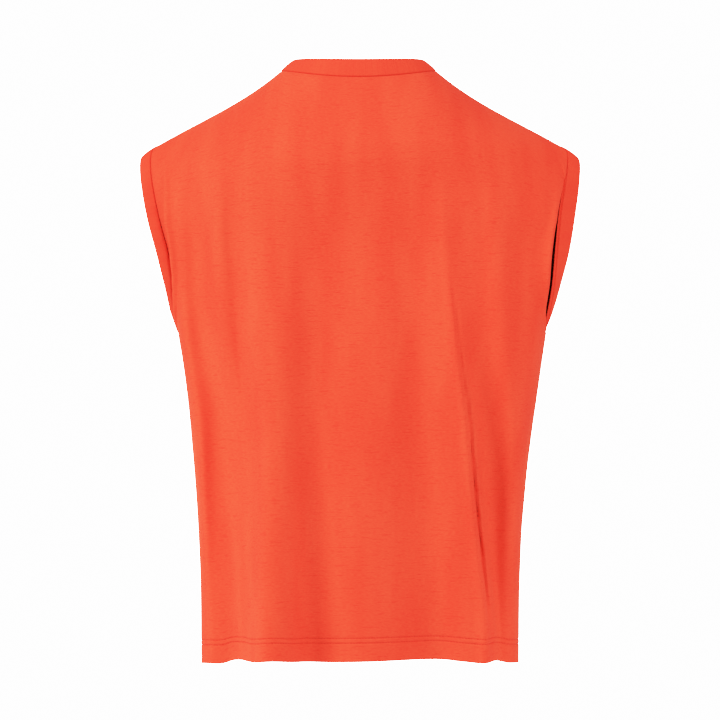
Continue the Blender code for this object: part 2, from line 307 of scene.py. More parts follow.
FRONT_CREASES = (
    Table(CREASE_COLUMNS, (40, 132, -6, 8), (160, 138, -8, 9), (280, 146, -7, 9), (400, 150, 0, 8)),
    Table(CREASE_COLUMNS, (40, 101, 9, 7), (160, 104, 7, 8), (280, 108, 4, 9), (400, 112, 0, 9)),
    Table(CREASE_COLUMNS, (40, 52, -8, 7), (160, 56, -6, 9), (280, 60, -3, 14), (420, 62, 0, 18)),
    Table(CREASE_COLUMNS, (40, 8, 5, 10), (160, 14, 4, 13), (280, 22, 3, 18), (420, 28, 0, 20)),
    Table(CREASE_COLUMNS, (40, -40, -4, 12), (160, -36, -5, 11), (280, -34, -3, 13), (420, -34, 0, 14)),
    Table(CREASE_COLUMNS, (40, -76, 6, 6), (160, -80, 6, 7), (280, -82, 4, 8), (420, -84, 0, 9)),
    Table(CREASE_COLUMNS, (40, -116, -7, 5), (160, -114, -6, 5), (280, -110, -3, 6), (420, -106, 0, 6)),
    Table(CREASE_COLUMNS, (40, -140, 5, 8), (160, -142, 5, 8), (280, -146, 4, 8), (400, -150, 0, 8)),
)

# The narrow valley beside the back's long slanting fold: where it lies, how deep it is and
# its half width, by height
BACK_VALLEY = Table(
    "height across depth width",
    (0, -134, 3, 3),
    (40, -129.8, 6, 2.3),
    (90, -124.2, 13, 2.1),
    (140, -118.7, 14, 2),
    (190, -113.8, 11, 2),
    (240, -109.8, 8, 2),
    (290, -103, 5, 2),
    (340, -97.3, 3, 2.2),
    (390, -91, 0, 2.4),
)

# How far the back's hem lies above a straight one, by place across
HEM_WAVE = Table(
    "across lift",
    (-150, -1.5),
    (-136, 0),
    (-128, -1.8),
    (-104, -1.3),
    (-88, 0),
    (-60, 0),
    (0, -1),
    (36, -1.5),
    (60, -0.5),
    (90, 1.5),
    (106, 0.5),
    (118, 1.5),
    (127, 1.2),
    (137, -1.5),
    (148, -1),
    (154, -0.3),
    (165, -0.3),
)
HEM_WAVE_HEIGHT = 70  # to which the wave reaches up

# How the back's cloth lies beside the armholes, by height: a ridge, and a pit between it and
# the seam. Each is placed by its distance from the seam. Widths are half widths.
DRAPE_COLUMNS = "height ridge rise width pit depth"
LEFT_DRAPE = Table(
    DRAPE_COLUMNS,
    (328, 4, 0, 4, 2, 0),
    (345, 5, 3, 2.2, 2, 0.5),
    (375, 8, 5, 2.4, 2.5, 1),
    (410, 11, 6, 2.4, 4, 1),
    (441, 15, 6, 2.4, 6, 1),
    (466, 19, 5, 2.4, 8, 0.5),
    (490, 19, 2, 4, 8, 0),
    (510, 16, 0, 5, 8, 0),
)
RIGHT_DRAPE = Table(
    DRAPE_COLUMNS,
    (325, 6, 0, 4, 3, 0),
    (334, 14, 1, 4, 6, 34),
    (346, 14, 2, 4, 6, 38),
    (375, 12, 4.5, 4, 4.4, 40),
    (410, 12, 4.5, 4.5, 4.4, 40),
    (440, 11, 3.5, 4.5, 3.8, 34),
    (462, 9.5, 2, 5, 2.4, 24),
    (474, 10, 1.5, 6, 1.6, 12),
    (486, 12, 1, 7, 1.6, 0),
    (505, 10, 0, 7, 5, 0),
)

# ---------------------------------------------------------------- how finely cloth is divided
TURN_POINTS = 361  # round a whole armhole, one a degree
SECTION_POINTS = 1600  # round half a level section
DOME_POINTS = 300  # down a line over the shoulder
EVEN_POINTS = 361  # across a panel, where its rows are softened
BAND_POINTS = 360  # round a band
EDGE_STEPS = np.array(
    [0, 0.4, 0.8, 1.3, 1.8, 2.3, 2.8, 3.3, 3.8, 4.4, 5.1, 5.9, 6.8, 7.9, 9.2, 10.7, 12.3, 14, 16, 18.5]
)
TOP_STEPS = np.array([0, 0.3, 0.7, 1.2, 1.9, 2.9, 4.4, 6.5])  # from the neck and shoulder seams
HALF_WIDTH = 270  # of a panel, about, along its curve
OUTER_FROM = 0.74  # share of the half width where columns come closer together
INNER_COLUMNS = 60  # on each side of a panel's middle, up to there
OUTER_COLUMNS = 26  # and from there to the edge's own steps
CLOSE = {"from": -0.38, "to": -0.27, "columns": 34}  # and where the long slanting fold lies
DOME_ROWS = 46  # from the shoulders down to where the cloth hangs straight
DOME_ROW = 3  # millimetres from one of these to the next, about
LEAST_SPREAD = 0.3  # of a row's softening, in points, that is worth the work
JOINT_ROWS = 10  # smoothed on each side of where the two kinds of rows meet
EDGE_SHARE = 0.06  # of the half width, where the panels' sides stay as they are
HANG_ROWS = 104  # and from there to the hem
UNDERARM_CLEAR = 4  # of other rows, about these ones
UNDERARM_ROWS = UNDERARM + np.array([5, 3, 1.7, 0.8, 0.2, 0])
NEEDLE_ROWS = (23.3, 18.6)  # of the hem's stitching, above its edge
GROOVE = {"depth": 0.8, "width": 0.65}
HEM_TUCK = 23.8  # where the turned-up layer ends
TUCK_STEP = 0.6  # over which it ends
STITCH = {"pitch": 3.0, "length": 2.3, "radius": 0.26, "sides": 6}
THREAD_PLACES = np.array([-0.5, -0.3, 0, 0.3, 0.5])  # along a stitch, by its length
THREAD_BULGE = np.array([0.35, 0.85, 1.0, 0.85, 0.35])  # how thick it is there
CLOTH_MIDDLE = 300  # where a panel's middle lies on the flat cloth, across
CLOTH_TOP = 650  # and where its top edge does
HEM_ROWS = (26, 25, 24.3, 23.8, 23.3, 22.8, 22.2, 21.4, 20.4, 19.6, 19.1, 18.6, 18.1, 17.5, 16.5)
HEM_ROWS += (15, 13, 11, 9, 7, 5, 3.5, 2.3, 1.4, 0.8, 0.3, 0)


# ---------------------------------------------------------------- forms
def ease(t):
    """0 to 1 and level at both ends."""
    t = np.clip(t, 0, 1)
    return t * t * (3 - 2 * t)


def run_along(point, axis):
    """How far each point of a grid is from the first in its row (axis 1) or column (axis 0)."""
    first = point[:, :1] if axis == 1 else point[:1]
    return np.cumsum(np.linalg.norm(np.diff(point, axis=axis, prepend=first), axis=2), axis=axis)


def run_of(line):
    """How far each point of a line is from its first."""
    return np.append(0, np.cumsum(np.linalg.norm(np.diff(line, axis=0), axis=1)))


def armhole_seam(side):
    """Fine points round an armhole seam, by turn: side is 1 on the left and -1 on the right."""
    turn = np.linspace(0, 360, TURN_POINTS)
    out, depth = ARMHOLE.at(turn, "out"), ARMHOLE.at(turn, "depth")
    if side < 0:
        out = out + ARMHOLE.at(turn, "more_right")
        depth = depth + ARMHOLE.at(turn, "back_right")
    return turn, np.stack([side * out, depth, ARMHOLE.at(turn, "height")], 1)


def edge_point(height, side, face):
    """Where a panel's edge is at a height: on the armhole, or on the side seam below it."""
    name = "left" if side > 0 else "right"
    if height <= UNDERARM:
        return None, float(SIDE_SEAM.at(height, name))
    turn, seam = armhole_seam(side)
    branch = seam[turn <= 180][::-1] if face > 0 else seam[turn >= 180]
    return (
        side * float(np.interp(height, branch[:, 2], branch[:, 0])),
        float(np.interp(height, branch[:, 2], branch[:, 1])),
    )


def half_section(height, side, face, shares):
    """Points at shares of the way from a panel's middle to its edge, at one height."""
    name = "left" if side > 0 else "right"
    reach, back, front = (float(BODY.at(height, key)) for key in (name, "back", "front"))
    edge_out, edge_depth = edge_point(height, side, face)
    bulge = back if edge_depth > 0 else front
    last = np.arccos(np.sign(edge_depth) * (abs(edge_depth) / bulge) ** (SQUARENESS / 2))
    turn = np.linspace(0, np.pi, SECTION_POINTS)
    cosine = np.cos(turn) * face
    out = reach * np.sin(turn) ** (2 / SQUARENESS)
    depth = np.where(cosine > 0, back, front) * np.sign(cosine) * np.abs(cosine) ** (2 / SQUARENESS)
    run = np.append(0, np.cumsum(np.hypot(np.diff(out), np.diff(depth))))
    end = np.interp(last if face > 0 else np.pi - last, turn, run)
    inner = np.interp(-INNER_DEPTH, -face * depth, run)
    at = shares * inner + (end - inner) * ease((shares - INNER_SHARE) / (1 - INNER_SHARE))
    edge_flare = 0 if edge_out is None else edge_out - np.interp(end, run, out)
    out, depth = np.interp(at, run, out), np.interp(at, run, depth)
    out = out + edge_flare * np.clip((shares - 1 + FLARE_SHARE) / FLARE_SHARE, 0, 1) ** 2
    dip = SIDE_DIP[name] * ease(1 - height / DIP_HEIGHT)
    low = 1 - (depth / np.where(depth > 0, back, front)) ** 2
    return np.stack([side * out, depth, height - dip * low], 1)


def section(height, across, face):
    """Points across a panel at one height, from -1 at its right edge to 1 at its left."""
    left, right = across[across >= 0], -across[across < 0][::-1]
    return np.concatenate(
        [half_section(height, -1, face, right)[::-1], half_section(height, 1, face, left)]
    )


def neck_seam(turn):
    """Points on the neck seam: turn is 0 at the middle of the back and pi at the front's."""
    cosine = np.cos(turn)
    middle = {key: np.where(cosine > 0, BACK_NECK[key], FRONT_NECK[key]) for key in BACK_NECK}
    low = np.abs(cosine) ** middle["fall"]
    return np.stack(
        [
            NECK_SHIFT + NECK_POINT["out"] * np.sin(turn),
            NECK_POINT["depth"] + (middle["depth"] - NECK_POINT["depth"]) * np.abs(cosine),
            NECK_POINT["height"] + (middle["height"] - NECK_POINT["height"]) * low,
        ],
        -1,
    )


def top_edge(across, face):
    """The panel's top edge: half the neck seam, and a shoulder seam on each side of it."""
    share = np.abs(across)
    quarter = np.clip(share / NECK_SHARE, 0, 1) * np.pi / 2
    side = np.where(across < 0, -1, 1)
    neck = neck_seam(side * (quarter if face > 0 else np.pi - quarter))
    along = np.clip((share - NECK_SHARE) / (1 - NECK_SHARE), 0, 1)
    tip_out = ARMHOLE.at(0, "out") + np.where(side < 0, ARMHOLE.at(0, "more_right"), 0)
    start = NECK_POINT["out"] + side * NECK_SHIFT
    out = start + (tip_out - start) * along
    depth = NECK_POINT["depth"] * (1 - along)
    height = NECK_POINT["height"] + (ARMHOLE.at(0, "height") - NECK_POINT["height"]) * along
    sag = SHOULDER_SAG * 27 / 4 * along * (1 - along) ** 2  # most at a third of the way
    shoulder = np.stack([side * out, depth, height - sag], 1)
    return np.where(share[:, None] < NECK_SHARE, neck, shoulder)


def dome(across, face, rows):
    """Rows from the top edge over the shoulders, down to where the panel hangs straight."""
    rest = BLADE if face > 0 else CHEST
    top = top_edge(across, face)
    bottom = section(rest["height"], across, face)
    share = np.abs(across)
    steep = rest["slope"] * ease(1 - share / NECK_SHARE)
    beyond = np.clip((share - NECK_SHARE) / (1 - NECK_SHARE), 0, 1)
    fan = np.where(share < NECK_SHARE, np.sin(np.pi / 2 * share / NECK_SHARE), 1 - ease(beyond))
    spread = np.sign(across) * SPREAD * fan
    leave = np.stack(
        [spread, np.full(len(across), float(face)), -steep - SPREAD_FALL * np.abs(spread)], 1
    )
    leave /= np.linalg.norm(leave, axis=1)[:, None]
    drop = np.linalg.norm(bottom - top, axis=1)[:, None]
    first = top + leave * drop * rest["round_top"]
    second = bottom + np.array([0, 0, 1]) * (top - bottom)[:, 2:] * rest["round_foot"]
    t = np.linspace(0, 1, DOME_POINTS)[:, None, None]
    leaving = (1 - t) ** 3 * top + 3 * t * (1 - t) ** 2 * first
    fine = leaving + 3 * t * t * (1 - t) * second + t**3 * bottom
    run = run_along(fine, 0)
    grid = np.empty((len(TOP_STEPS) + rows, len(across), 3))
    for c in range(len(across)):
        rest_of_it = np.linspace(TOP_STEPS[-1], run[-1, c], rows + 2)[1:-1]
        stops = np.append(TOP_STEPS, rest_of_it)
        for k in range(3):
            grid[:, c, k] = np.interp(stops, run[:, c], fine[:, c, k])
    grid = soften(grid, across)
    return [fit_armhole(row, across, face) for row in grid]


def soften(grid, across):
    """Rounds off, row by row, the corner that the top edge has where neck and shoulder meet."""
    even = np.linspace(-1, 1, EVEN_POINTS)
    step = 2 * HALF_WIDTH / (EVEN_POINTS - 1)
    rows = []
    for k, row in enumerate(grid):
        fine = np.stack([np.interp(even, across, row[:, j]) for j in range(3)], 1)
        below = TOP_STEPS[k] if k < len(TOP_STEPS) else k * DOME_ROW
        spread = min(below * SOFTENING, SOFTEST) / step
        if spread > LEAST_SPREAD:
            span = int(4 * spread) + 1
            ahead = 2 * fine[-1] - fine[-span - 1 : -1][::-1]
            before = 2 * fine[0] - fine[1 : span + 1][::-1]
            padded = np.concatenate([before, fine, ahead])
            weight = np.exp(-0.5 * (np.arange(-span, span + 1) / spread) ** 2)
            weight /= weight.sum()
            fine = np.stack([np.convolve(padded[:, j], weight, "valid") for j in range(3)], 1)
        rows.append(np.stack([np.interp(across, even, fine[:, j]) for j in range(3)], 1))
    return np.array(rows)


def fit_armhole(point, across, face):
    """Moves the ends of a dome row onto the armhole seams, and less and less further in."""
    point = point.copy()
    for side in (-1, 1):
        end = 0 if side < 0 else -1
        out, depth = edge_point(point[end, 2], side, face)
        shift = np.array([side * out - point[end, 0], depth - point[end, 1], 0])
        weight = np.clip((side * across - 1 + DOME_FLARE) / DOME_FLARE, 0, 1) ** 2
        point += weight[:, None] * shift
    return point


def fold_height(point, across, folds):
    """How far the large folds lift the cloth at each point, dying out at the panel's edges."""
    x, height = point[..., 0], point[..., 2]
    lift = np.zeros_like(x)
    for fold in folds.each():
        marks = np.array([0, HALF_WAY, fold["top"]], float)
        lies = np.array([fold["across_hem"], fold["across_half"], fold["across_top"]])
        off = x - smooth(height, marks, lies)
        width = np.where(off > 0, fold["left"], fold["right"])
        rise = np.interp(height, marks, [fold["rise"], fold["rise_half"], 0])
        lift += rise * np.exp(-((off / width) ** 2))
    return lift * ease((1 - np.abs(across)) / FOLD_END)


def crease_height(point, places, creases):
    """How far out the creases move the cloth at each point, and not at a panel's two sides."""
    x, height = point[..., 0], point[..., 2]
    lift = np.zeros_like(x)
    for crease in creases:
        rise = crease.at(height, "rise")
        past = (crease.at(height, "across") - x) / crease.at(height, "width")
        lift += rise * (np.tanh(past) / 2 - ease(0.5 - x / CREASE_SPAN) + 0.5)
    return lift * ease((1 - np.abs(places)) / CREASE_END)


def valley_depth(point):
    """How far in the narrow valley beside the long slanting fold moves the back's cloth."""
    x, height = point[..., 0], point[..., 2]
    off = (x - BACK_VALLEY.at(height, "across")) / BACK_VALLEY.at(height, "width")
    return BACK_VALLEY.at(height, "depth") * np.exp(-(off**2))


def drape_beside(point, outward, side):
    """How far the back's cloth moves beside an armhole, into its ridge and its pit."""
    if side > 0:
        point, outward = point[:, ::-1], outward[:, ::-1]
    run = run_along(point, 1)
    drape = LEFT_DRAPE if side > 0 else RIGHT_DRAPE
    height = point[..., 2]
    off = (run - drape.at(height, "ridge")) / drape.at(height, "width")
    ridge = drape.at(height, "rise") * np.exp(-(off**2))
    inside = np.clip((run - LIP) / drape.at(height, "pit") / 2, 0, 1)
    pit = drape.at(height, "depth") * (1 - (2 * inside - 1) ** 4)
    shift = outward * ridge[..., None] + np.array([0, -1, 0]) * pit[..., None]
    return shift[:, ::-1] if side > 0 else shift


def normals(point):
    """Outward unit normals of a grid of points whose rows run down and columns to the left."""
    down, left = np.gradient(point, axis=0), np.gradient(point, axis=1)
    normal = np.cross(left, down)
    return normal / np.linalg.norm(normal, axis=2)[..., None]


def leaning(across, height):
    """A back row's columns at a height, where they lean along with its long slanting fold."""
    near = np.clip(np.abs(across - SLANT["across"]) / SLANT["reach"], 0, 1)
    return across + SLANT["lean"] * (1 - height / BLADE["height"]) * np.cos(np.pi / 2 * near) ** 2


def blend_joint(point, joint):
    """Rounds off the line where the dome's rows meet the hanging ones."""
    near = range(joint - 2 * JOINT_ROWS, joint + 2 * JOINT_ROWS)
    spread = np.arange(-JOINT_ROWS, JOINT_ROWS + 1)
    weight = np.exp(-((2 * spread / JOINT_ROWS) ** 2))
    weight /= weight.sum()
    inner = ease((1 - np.abs(columns())) / EDGE_SHARE)[:, None]
    smoothed = point.copy()
    for row in near:
        mean = np.tensordot(weight, point[row - JOINT_ROWS : row + JOINT_ROWS + 1], 1)
        share = ease(2 - np.abs(row - joint) / JOINT_ROWS) * inner
        smoothed[row] = point[row] * (1 - share) + mean * share
    return smoothed


def columns():
    """Places across a panel, from -1 to 1, closer together towards its edges."""
    inner = np.linspace(0, OUTER_FROM, INNER_COLUMNS + 1)
    edge = 1 - EDGE_STEPS[::-1] / HALF_WIDTH
    outer = np.linspace(OUTER_FROM, edge[0], OUTER_COLUMNS + 1)[1:-1]
    half = np.concatenate([inner, outer, edge])
    both = np.concatenate([-half[:0:-1], half])
    around = both[(both < CLOSE["from"]) | (both > CLOSE["to"])]
    return np.sort(np.append(around, np.linspace(CLOSE["from"], CLOSE["to"], CLOSE["columns"])))


def row_heights(face):
    """Heights of a panel's hanging rows, closer together at the underarm and in the hem."""
    rest = (BLADE if face > 0 else CHEST)["height"]
    even = np.linspace(rest, HEM_ROWS[0], HANG_ROWS + 1)[:-1]
    even = even[np.abs(even - UNDERARM_ROWS.mean()) > UNDERARM_CLEAR]
    return np.sort(np.concatenate([even, UNDERARM_ROWS, HEM_ROWS]))[::-1]


def panel_surface(face, folds, creases):
    """The middle surface of the back (face 1) or the front (face -1) as a grid of points."""
    across = columns()
    heights = row_heights(face)
    wide = [leaning(across, height) if face > 0 else across for height in heights]
    hanging = [section(height, places, face) for height, places in zip(heights, wide)]
    top = dome(across, face, DOME_ROWS)
    point = blend_joint(np.array(top + hanging), len(top))
    places = np.array([across] * len(top) + wide)
    outward = normals(point) * face
    point = point + outward * fold_height(point, places, folds)[..., None]
    outward = normals(point) * face
    lift = crease_height(point, places, creases)
    if face > 0:
        point = point + drape_beside(point, outward, 1) + drape_beside(point, outward, -1)
    point = point + np.array([0, face, 0]) * lift[..., None]
    if face > 0:
        point = point - np.array([0, 1, 0]) * valley_depth(point)[..., None]
        wave = HEM_WAVE.at(point[..., 0], "lift") * ease(1 - point[..., 2] / HEM_WAVE_HEIGHT)
        point = point + np.array([0, 0, 1]) * wave[..., None]
    return point


# ---------------------------------------------------------------- meshes
def mesh_from(name, verts, faces, look, uv=None):
    """A mesh from points by their height above the hem, set level with the frame's origin."""
    mesh = bpy.data.meshes.new(name)
    mesh.from_pydata(((np.asarray(verts) - [0, 0, HOLD_HEIGHT]) * MM).tolist(), [], faces)
    mesh.materials.append(look)
    mesh.shade_smooth()
    if uv is not None:
        layer = mesh.uv_layers.new(name="cloth")
        index = np.empty(len(mesh.loops), int)
        mesh.loops.foreach_get("vertex_index", index)
        layer.data.foreach_set("uv", (np.asarray(uv) * MM)[index].astype(np.float32).ravel())
    mesh.validate()
    made = bpy.data.objects.new(name, mesh)
    bpy.context.scene.collection.objects.link(made)
    return made


def grid_faces(rows, cols, first, flip, ring=False):
    """Quads of a grid whose points are numbered row by row from first."""
    r, c = np.meshgrid(np.arange(rows - 1), np.arange(cols if ring else cols - 1), indexing="ij")
    n = (c + 1) % cols
    quad = np.stack([r * cols + c, r * cols + n, (r + 1) * cols + n, (r + 1) * cols + c], -1)
    quad = quad.reshape(-1, 4) + first
    return (quad[:, ::-1] if flip else quad).tolist()


def shell(name, outer, inner, look, uv, flip):
    """A closed wall between two grids of points, with its rim."""
    rows, cols = outer.shape[:2]
    total = rows * cols
    verts = np.concatenate([outer.reshape(-1, 3), inner.reshape(-1, 3)])
    faces = grid_faces(rows, cols, 0, flip) + grid_faces(rows, cols, total, not flip)
    rim = list(range(cols))
    rim += [row * cols + cols - 1 for row in range(1, rows)]
    rim += [(rows - 1) * cols + col for col in range(cols - 2, -1, -1)]
    rim += [row * cols for row in range(rows - 2, 0, -1)]
    for a, b in zip(rim, rim[1:] + rim[:1]):
        quad = [b, a, a + total, b + total]
        faces.append(quad[::-1] if flip else quad)
    return mesh_from(name, verts, faces, look, np.concatenate([uv, uv]))


def cloth_places(point):
    """Where each point of a panel lies on its flat cloth."""
    along = run_along(point, 1)
    along -= along[:, np.argmin(np.abs(columns()))][:, None]
    down = run_along(point, 0).mean(axis=1, keepdims=True) + 0 * along
    return np.stack([along + CLOTH_MIDDLE, CLOTH_TOP - down], -1).reshape(-1, 2)


def panel(name, face, folds, creases, look, thread):
    """A panel's cloth with its doubled hem, and the threads that stitch the hem."""
    point = panel_surface(face, folds, creases)
    outward = normals(point) * face
    from_sides = np.minimum(run_along(point, 1), run_along(point[:, ::-1], 1)[:, ::-1])
    from_seam = np.minimum(from_sides, run_along(point, 0))
    sink = SEAM_SINK * np.clip(1 - from_seam / SEAM_REACH, 0, 1) ** 2
    point = point - outward * sink[..., None]
    up_from_hem = np.full(len(point), np.inf)
    up_from_hem[-len(HEM_ROWS) :] = HEM_ROWS
    groove = sum(np.exp(-(((up_from_hem - row) / GROOVE["width"]) ** 2)) for row in NEEDLE_ROWS)
    doubled = np.clip((HEM_TUCK - up_from_hem) / TUCK_STEP, 0, 1)
    outer = point + outward * (JERSEY / 2 - GROOVE["depth"] * groove)[:, None, None]
    inner = point - outward * (JERSEY / 2 + (HEM_LAYERS - JERSEY) * doubled)[:, None, None]
    hem = outer[-len(HEM_ROWS) :]
    stitched = [hem[HEM_ROWS.index(row)] for row in NEEDLE_ROWS]
    cloth = shell(name, outer, inner, look, cloth_places(point), face < 0)
    return cloth, stitches(f"{name}_stitches", stitched, face, thread)


def stitches(name, lines, face, look):
    """One mesh of short threads lying end to end along each line."""
    verts, faces = [], []
    pitch = STITCH["pitch"]
    turn = np.linspace(0, 2 * np.pi, STITCH["sides"], endpoint=False)
    bulge = THREAD_BULGE * STITCH["radius"]
    lengths = THREAD_PLACES * STITCH["length"]
    up = np.array([0, 0, 1.0])
    for line in lines:
        run = run_of(line)
        for centre in np.arange(pitch, run[-1] - pitch, pitch):
            at = np.stack([np.interp(centre + lengths, run, line[:, k]) for k in range(3)], 1)
            along = at[-1] - at[0]
            along /= np.linalg.norm(along)
            out = np.cross(along, up) * -face
            first = len(verts)
            for place, radius in zip(at, bulge):
                ring = np.cos(turn)[:, None] * up + np.sin(turn)[:, None] * out
                verts.extend(place + ring * radius)
            faces += grid_faces(len(at), len(turn), first, face < 0, ring=True)
            ends = list(range(first, first + len(turn)))
            last = [v + (len(at) - 1) * len(turn) for v in ends]
            faces += [ends[::-1], last] if face > 0 else [ends, last[::-1]]
    return mesh_from(name, verts, faces, look)


def band_loop(seam, edge, face_out, allowance):
    """A closed flat tube round a band: seam allowance, outer face, free edge and inner face."""
    length = np.linalg.norm(edge, axis=1)[:, None]
    along = edge / length
    gap = BAND_GAP / length
    places = np.concatenate([allowance / length, gap + (1 - gap) * BAND_STEPS], 1)
    rings = []
    last = places.shape[1] - 1
    for sign, order in ((1, range(last + 1)), (-1, range(last - 1, 0, -1))):
        for k in order:
            run = places[:, k : k + 1] * length
            left = np.clip((length - run) / (BAND / 2), 0, 1)
            tucked = ease((TUCK_END - run) / (TUCK_END - TUCK_START))
            half = (BAND / 2 - tucked * (BAND - TUCK_THICK) / 2) * np.sqrt(1 - (1 - left) ** 2)
            bulge = BAND_ROUNDING * np.sin(np.pi * np.clip(run / length, 0, 1))
            rings.append(seam + along * run + face_out * (sign * half - TUCK * tucked + bulge))
    return np.array(rings)


def band(name, rings, turn_length, look, flip):
    """A band's cloth, from the closed lines of points that run round it."""
    rows, cols = rings.shape[:2]
    faces = []
    for row in range(rows):
        here = row * cols
        there = (row + 1) % rows * cols
        for col in range(cols):
            next_col = (col + 1) % cols
            quad = [here + col, here + next_col, there + next_col, there + col]
            faces.append(quad[::-1] if flip else quad)
    closed = np.concatenate([rings, rings[:1]])
    run = np.cumsum(np.linalg.norm(np.diff(closed, axis=0), axis=2).mean(axis=1))
    down = np.append(0, run[:-1])
    uv = np.stack(np.meshgrid(turn_length, down), -1).reshape(-1, 2)
    return mesh_from(name, rings.reshape(-1, 3), faces, look, uv)


def out_of_band(seam, edge):
    """Unit directions out of a band's face, from its seam and the way to its free edge."""
    ahead = np.roll(seam, -1, 0) - np.roll(seam, 1, 0)
    out = np.cross(edge, ahead)
    return out / np.linalg.norm(out, axis=1)[:, None]


def neckband_size(size, facing):
    """A size of the neckband round the neck: facing is 1 at the back and -1 at the front."""
    middle = np.where(facing > 0, size["back"], size["front"])
    share = np.abs(facing) ** BAND_CHANGE
    return (size["side"] + (middle - size["side"]) * share)[:, None]


def neckband_piece(look):
    """The rib band that stands on the neck seam and leans in."""
    turn = np.linspace(0, 2 * np.pi, BAND_POINTS, endpoint=False)
    facing = np.cos(turn)
    inward = np.stack([-np.sin(turn), -facing, 0 * turn], 1)
    up = np.array([0, 0, 1])
    edge = inward * neckband_size(BAND_LEAN, facing) + up * neckband_size(BAND_RISE, facing)
    seam = neck_seam(turn)
    rings = band_loop(seam, edge, out_of_band(seam, edge), NECK_ALLOWANCE)
    return band("neckband_cloth", rings, run_of(seam), look, True)


def armhole_piece(side, look):
    """The band round one armhole: side is 1 on the left and -1 on the right."""
    name = "left" if side > 0 else "right"
    degrees = np.linspace(0, 360, BAND_POINTS, endpoint=False)
    turn, ring = armhole_seam(side)
    seam = np.stack([np.interp(degrees, turn, ring[:, k]) for k in range(3)], 1)
    edge = np.stack([ARMHOLE.at(degrees, f"edge_{way}") for way in ("out", "depth", "up")], 1)
    edge[:, 1] += ARMHOLE.at(degrees, f"tilt_{name}")
    if side < 0:
        edge[:, 0] += ARMHOLE.at(degrees, "wider_right")
    edge[:, 0] *= side
    rings = band_loop(seam, edge, out_of_band(seam, edge) * side, ARM_ALLOWANCE)
    return band(f"armhole_cloth_{name}", rings, run_of(seam), look, side > 0)


# ---------------------------------------------------------------- looks
CLOTH_ROUGHNESS = 0.7
GRAIN = {"scale": (260, 900), "range": (0.3, 0.7), "colour": 0.6, "relief": 0.35}  # of yarns
PATCHES = {"scale": (38, 9), "range": (0.35, 0.65), "colour": 0.4}  # lighter and darker cloth
SLUB_COLOUR = 0.35  # how much darker the thick stretches of yarn are
YARN_HEIGHT = 0.0006  # metres


def plain_look(name, colour, roughness):
    """A matt dyed yarn with a faint warm sheen."""
    made = bpy.data.materials.new(name)
    made.use_nodes = True
    shader = made.node_tree.nodes["Principled BSDF"]
    shader.inputs["Base Color"].default_value = (*colour, 1)
    shader.inputs["Roughness"].default_value = roughness
    shader.inputs["Specular IOR Level"].default_value = 0.1
    shader.inputs["Specular Tint"].default_value = (1, 0.75, 0.42, 1)
    shader.inputs["Sheen Weight"].default_value = 0.04
    shader.inputs["Sheen Roughness"].default_value = 0.4
    shader.inputs["Sheen Tint"].default_value = (1, 0.65, 0.35, 1)
    return made


def noise(tree, scale, detail):
    """Noise over the cloth: scale is how many times a metre it changes, across and up."""
    nodes, links = tree.nodes, tree.links
    cloth = nodes.new("ShaderNodeUVMap")
    cloth.uv_map = "cloth"
    stretched = nodes.new("ShaderNodeMapping")
    stretched.inputs["Scale"].default_value = (*scale, 1)
    made = nodes.new("ShaderNodeTexNoise")
    made.inputs["Scale"].default_value = 1
    made.inputs["Detail"].default_value = detail
    links.new(cloth.outputs[0], stretched.inputs["Vector"])
    links.new(stretched.outputs[0], made.inputs["Vector"])
    return made.outputs["Fac"]


def arithmetic(tree, operation, first, second):
    """The result of an operation on two values, each a number or a node's output."""
    node = tree.nodes.new("ShaderNodeMath")
    node.operation = operation
    for socket, value in zip(node.inputs, (first, second)):
        if isinstance(value, (int, float)):
            socket.default_value = value
        else:
            tree.links.new(value, socket)
    return node.outputs[0]


def mapped(tree, value, low, high):
    """A value as a share of the way from low to high."""
    node = tree.nodes.new("ShaderNodeMapRange")
    tree.links.new(value, node.inputs["Value"])
    for name, number in (("From Min", low), ("From Max", high), ("To Min", 0), ("To Max", 1)):
        node.inputs[name].default_value = number
    return node.outputs[0]


def cloth_look(name, dark, light, streaks, sparse, relief):
    """Yarn of uneven thickness: fine grain and sparse streaks, in colour and relief."""
    made = plain_look(name, light, CLOTH_ROUGHNESS)
    tree = made.node_tree
    shader = tree.nodes["Principled BSDF"]
    slub = mapped(tree, noise(tree, streaks, 1), *sparse)
    grain = mapped(tree, noise(tree, GRAIN["scale"], 2), *GRAIN["range"])
    patchy = mapped(tree, noise(tree, PATCHES["scale"], 1), *PATCHES["range"])
    grained = arithmetic(tree, "MULTIPLY", grain, GRAIN["colour"])
    patched = arithmetic(tree, "MULTIPLY", patchy, PATCHES["colour"])
    shade = arithmetic(tree, "ADD", grained, patched)
    shade = arithmetic(tree, "SUBTRACT", shade, arithmetic(tree, "MULTIPLY", slub, SLUB_COLOUR))
    colour = tree.nodes.new("ShaderNodeMix")
    colour.data_type = "RGBA"
    colour.inputs["A"].default_value = (*dark, 1)
    colour.inputs["B"].default_value = (*light, 1)
    tree.links.new(shade, colour.inputs["Factor"])
    tree.links.new(colour.outputs["Result"], shader.inputs["Base Color"])
    raised = arithmetic(tree, "MULTIPLY", grain, GRAIN["relief"])
    bump = tree.nodes.new("ShaderNodeBump")
    bump.inputs["Strength"].default_value = relief
    bump.inputs["Distance"].default_value = YARN_HEIGHT
    tree.links.new(arithmetic(tree, "ADD", slub, raised), bump.inputs["Height"])
    tree.links.new(bump.outputs[0], shader.inputs["Normal"])
    return made


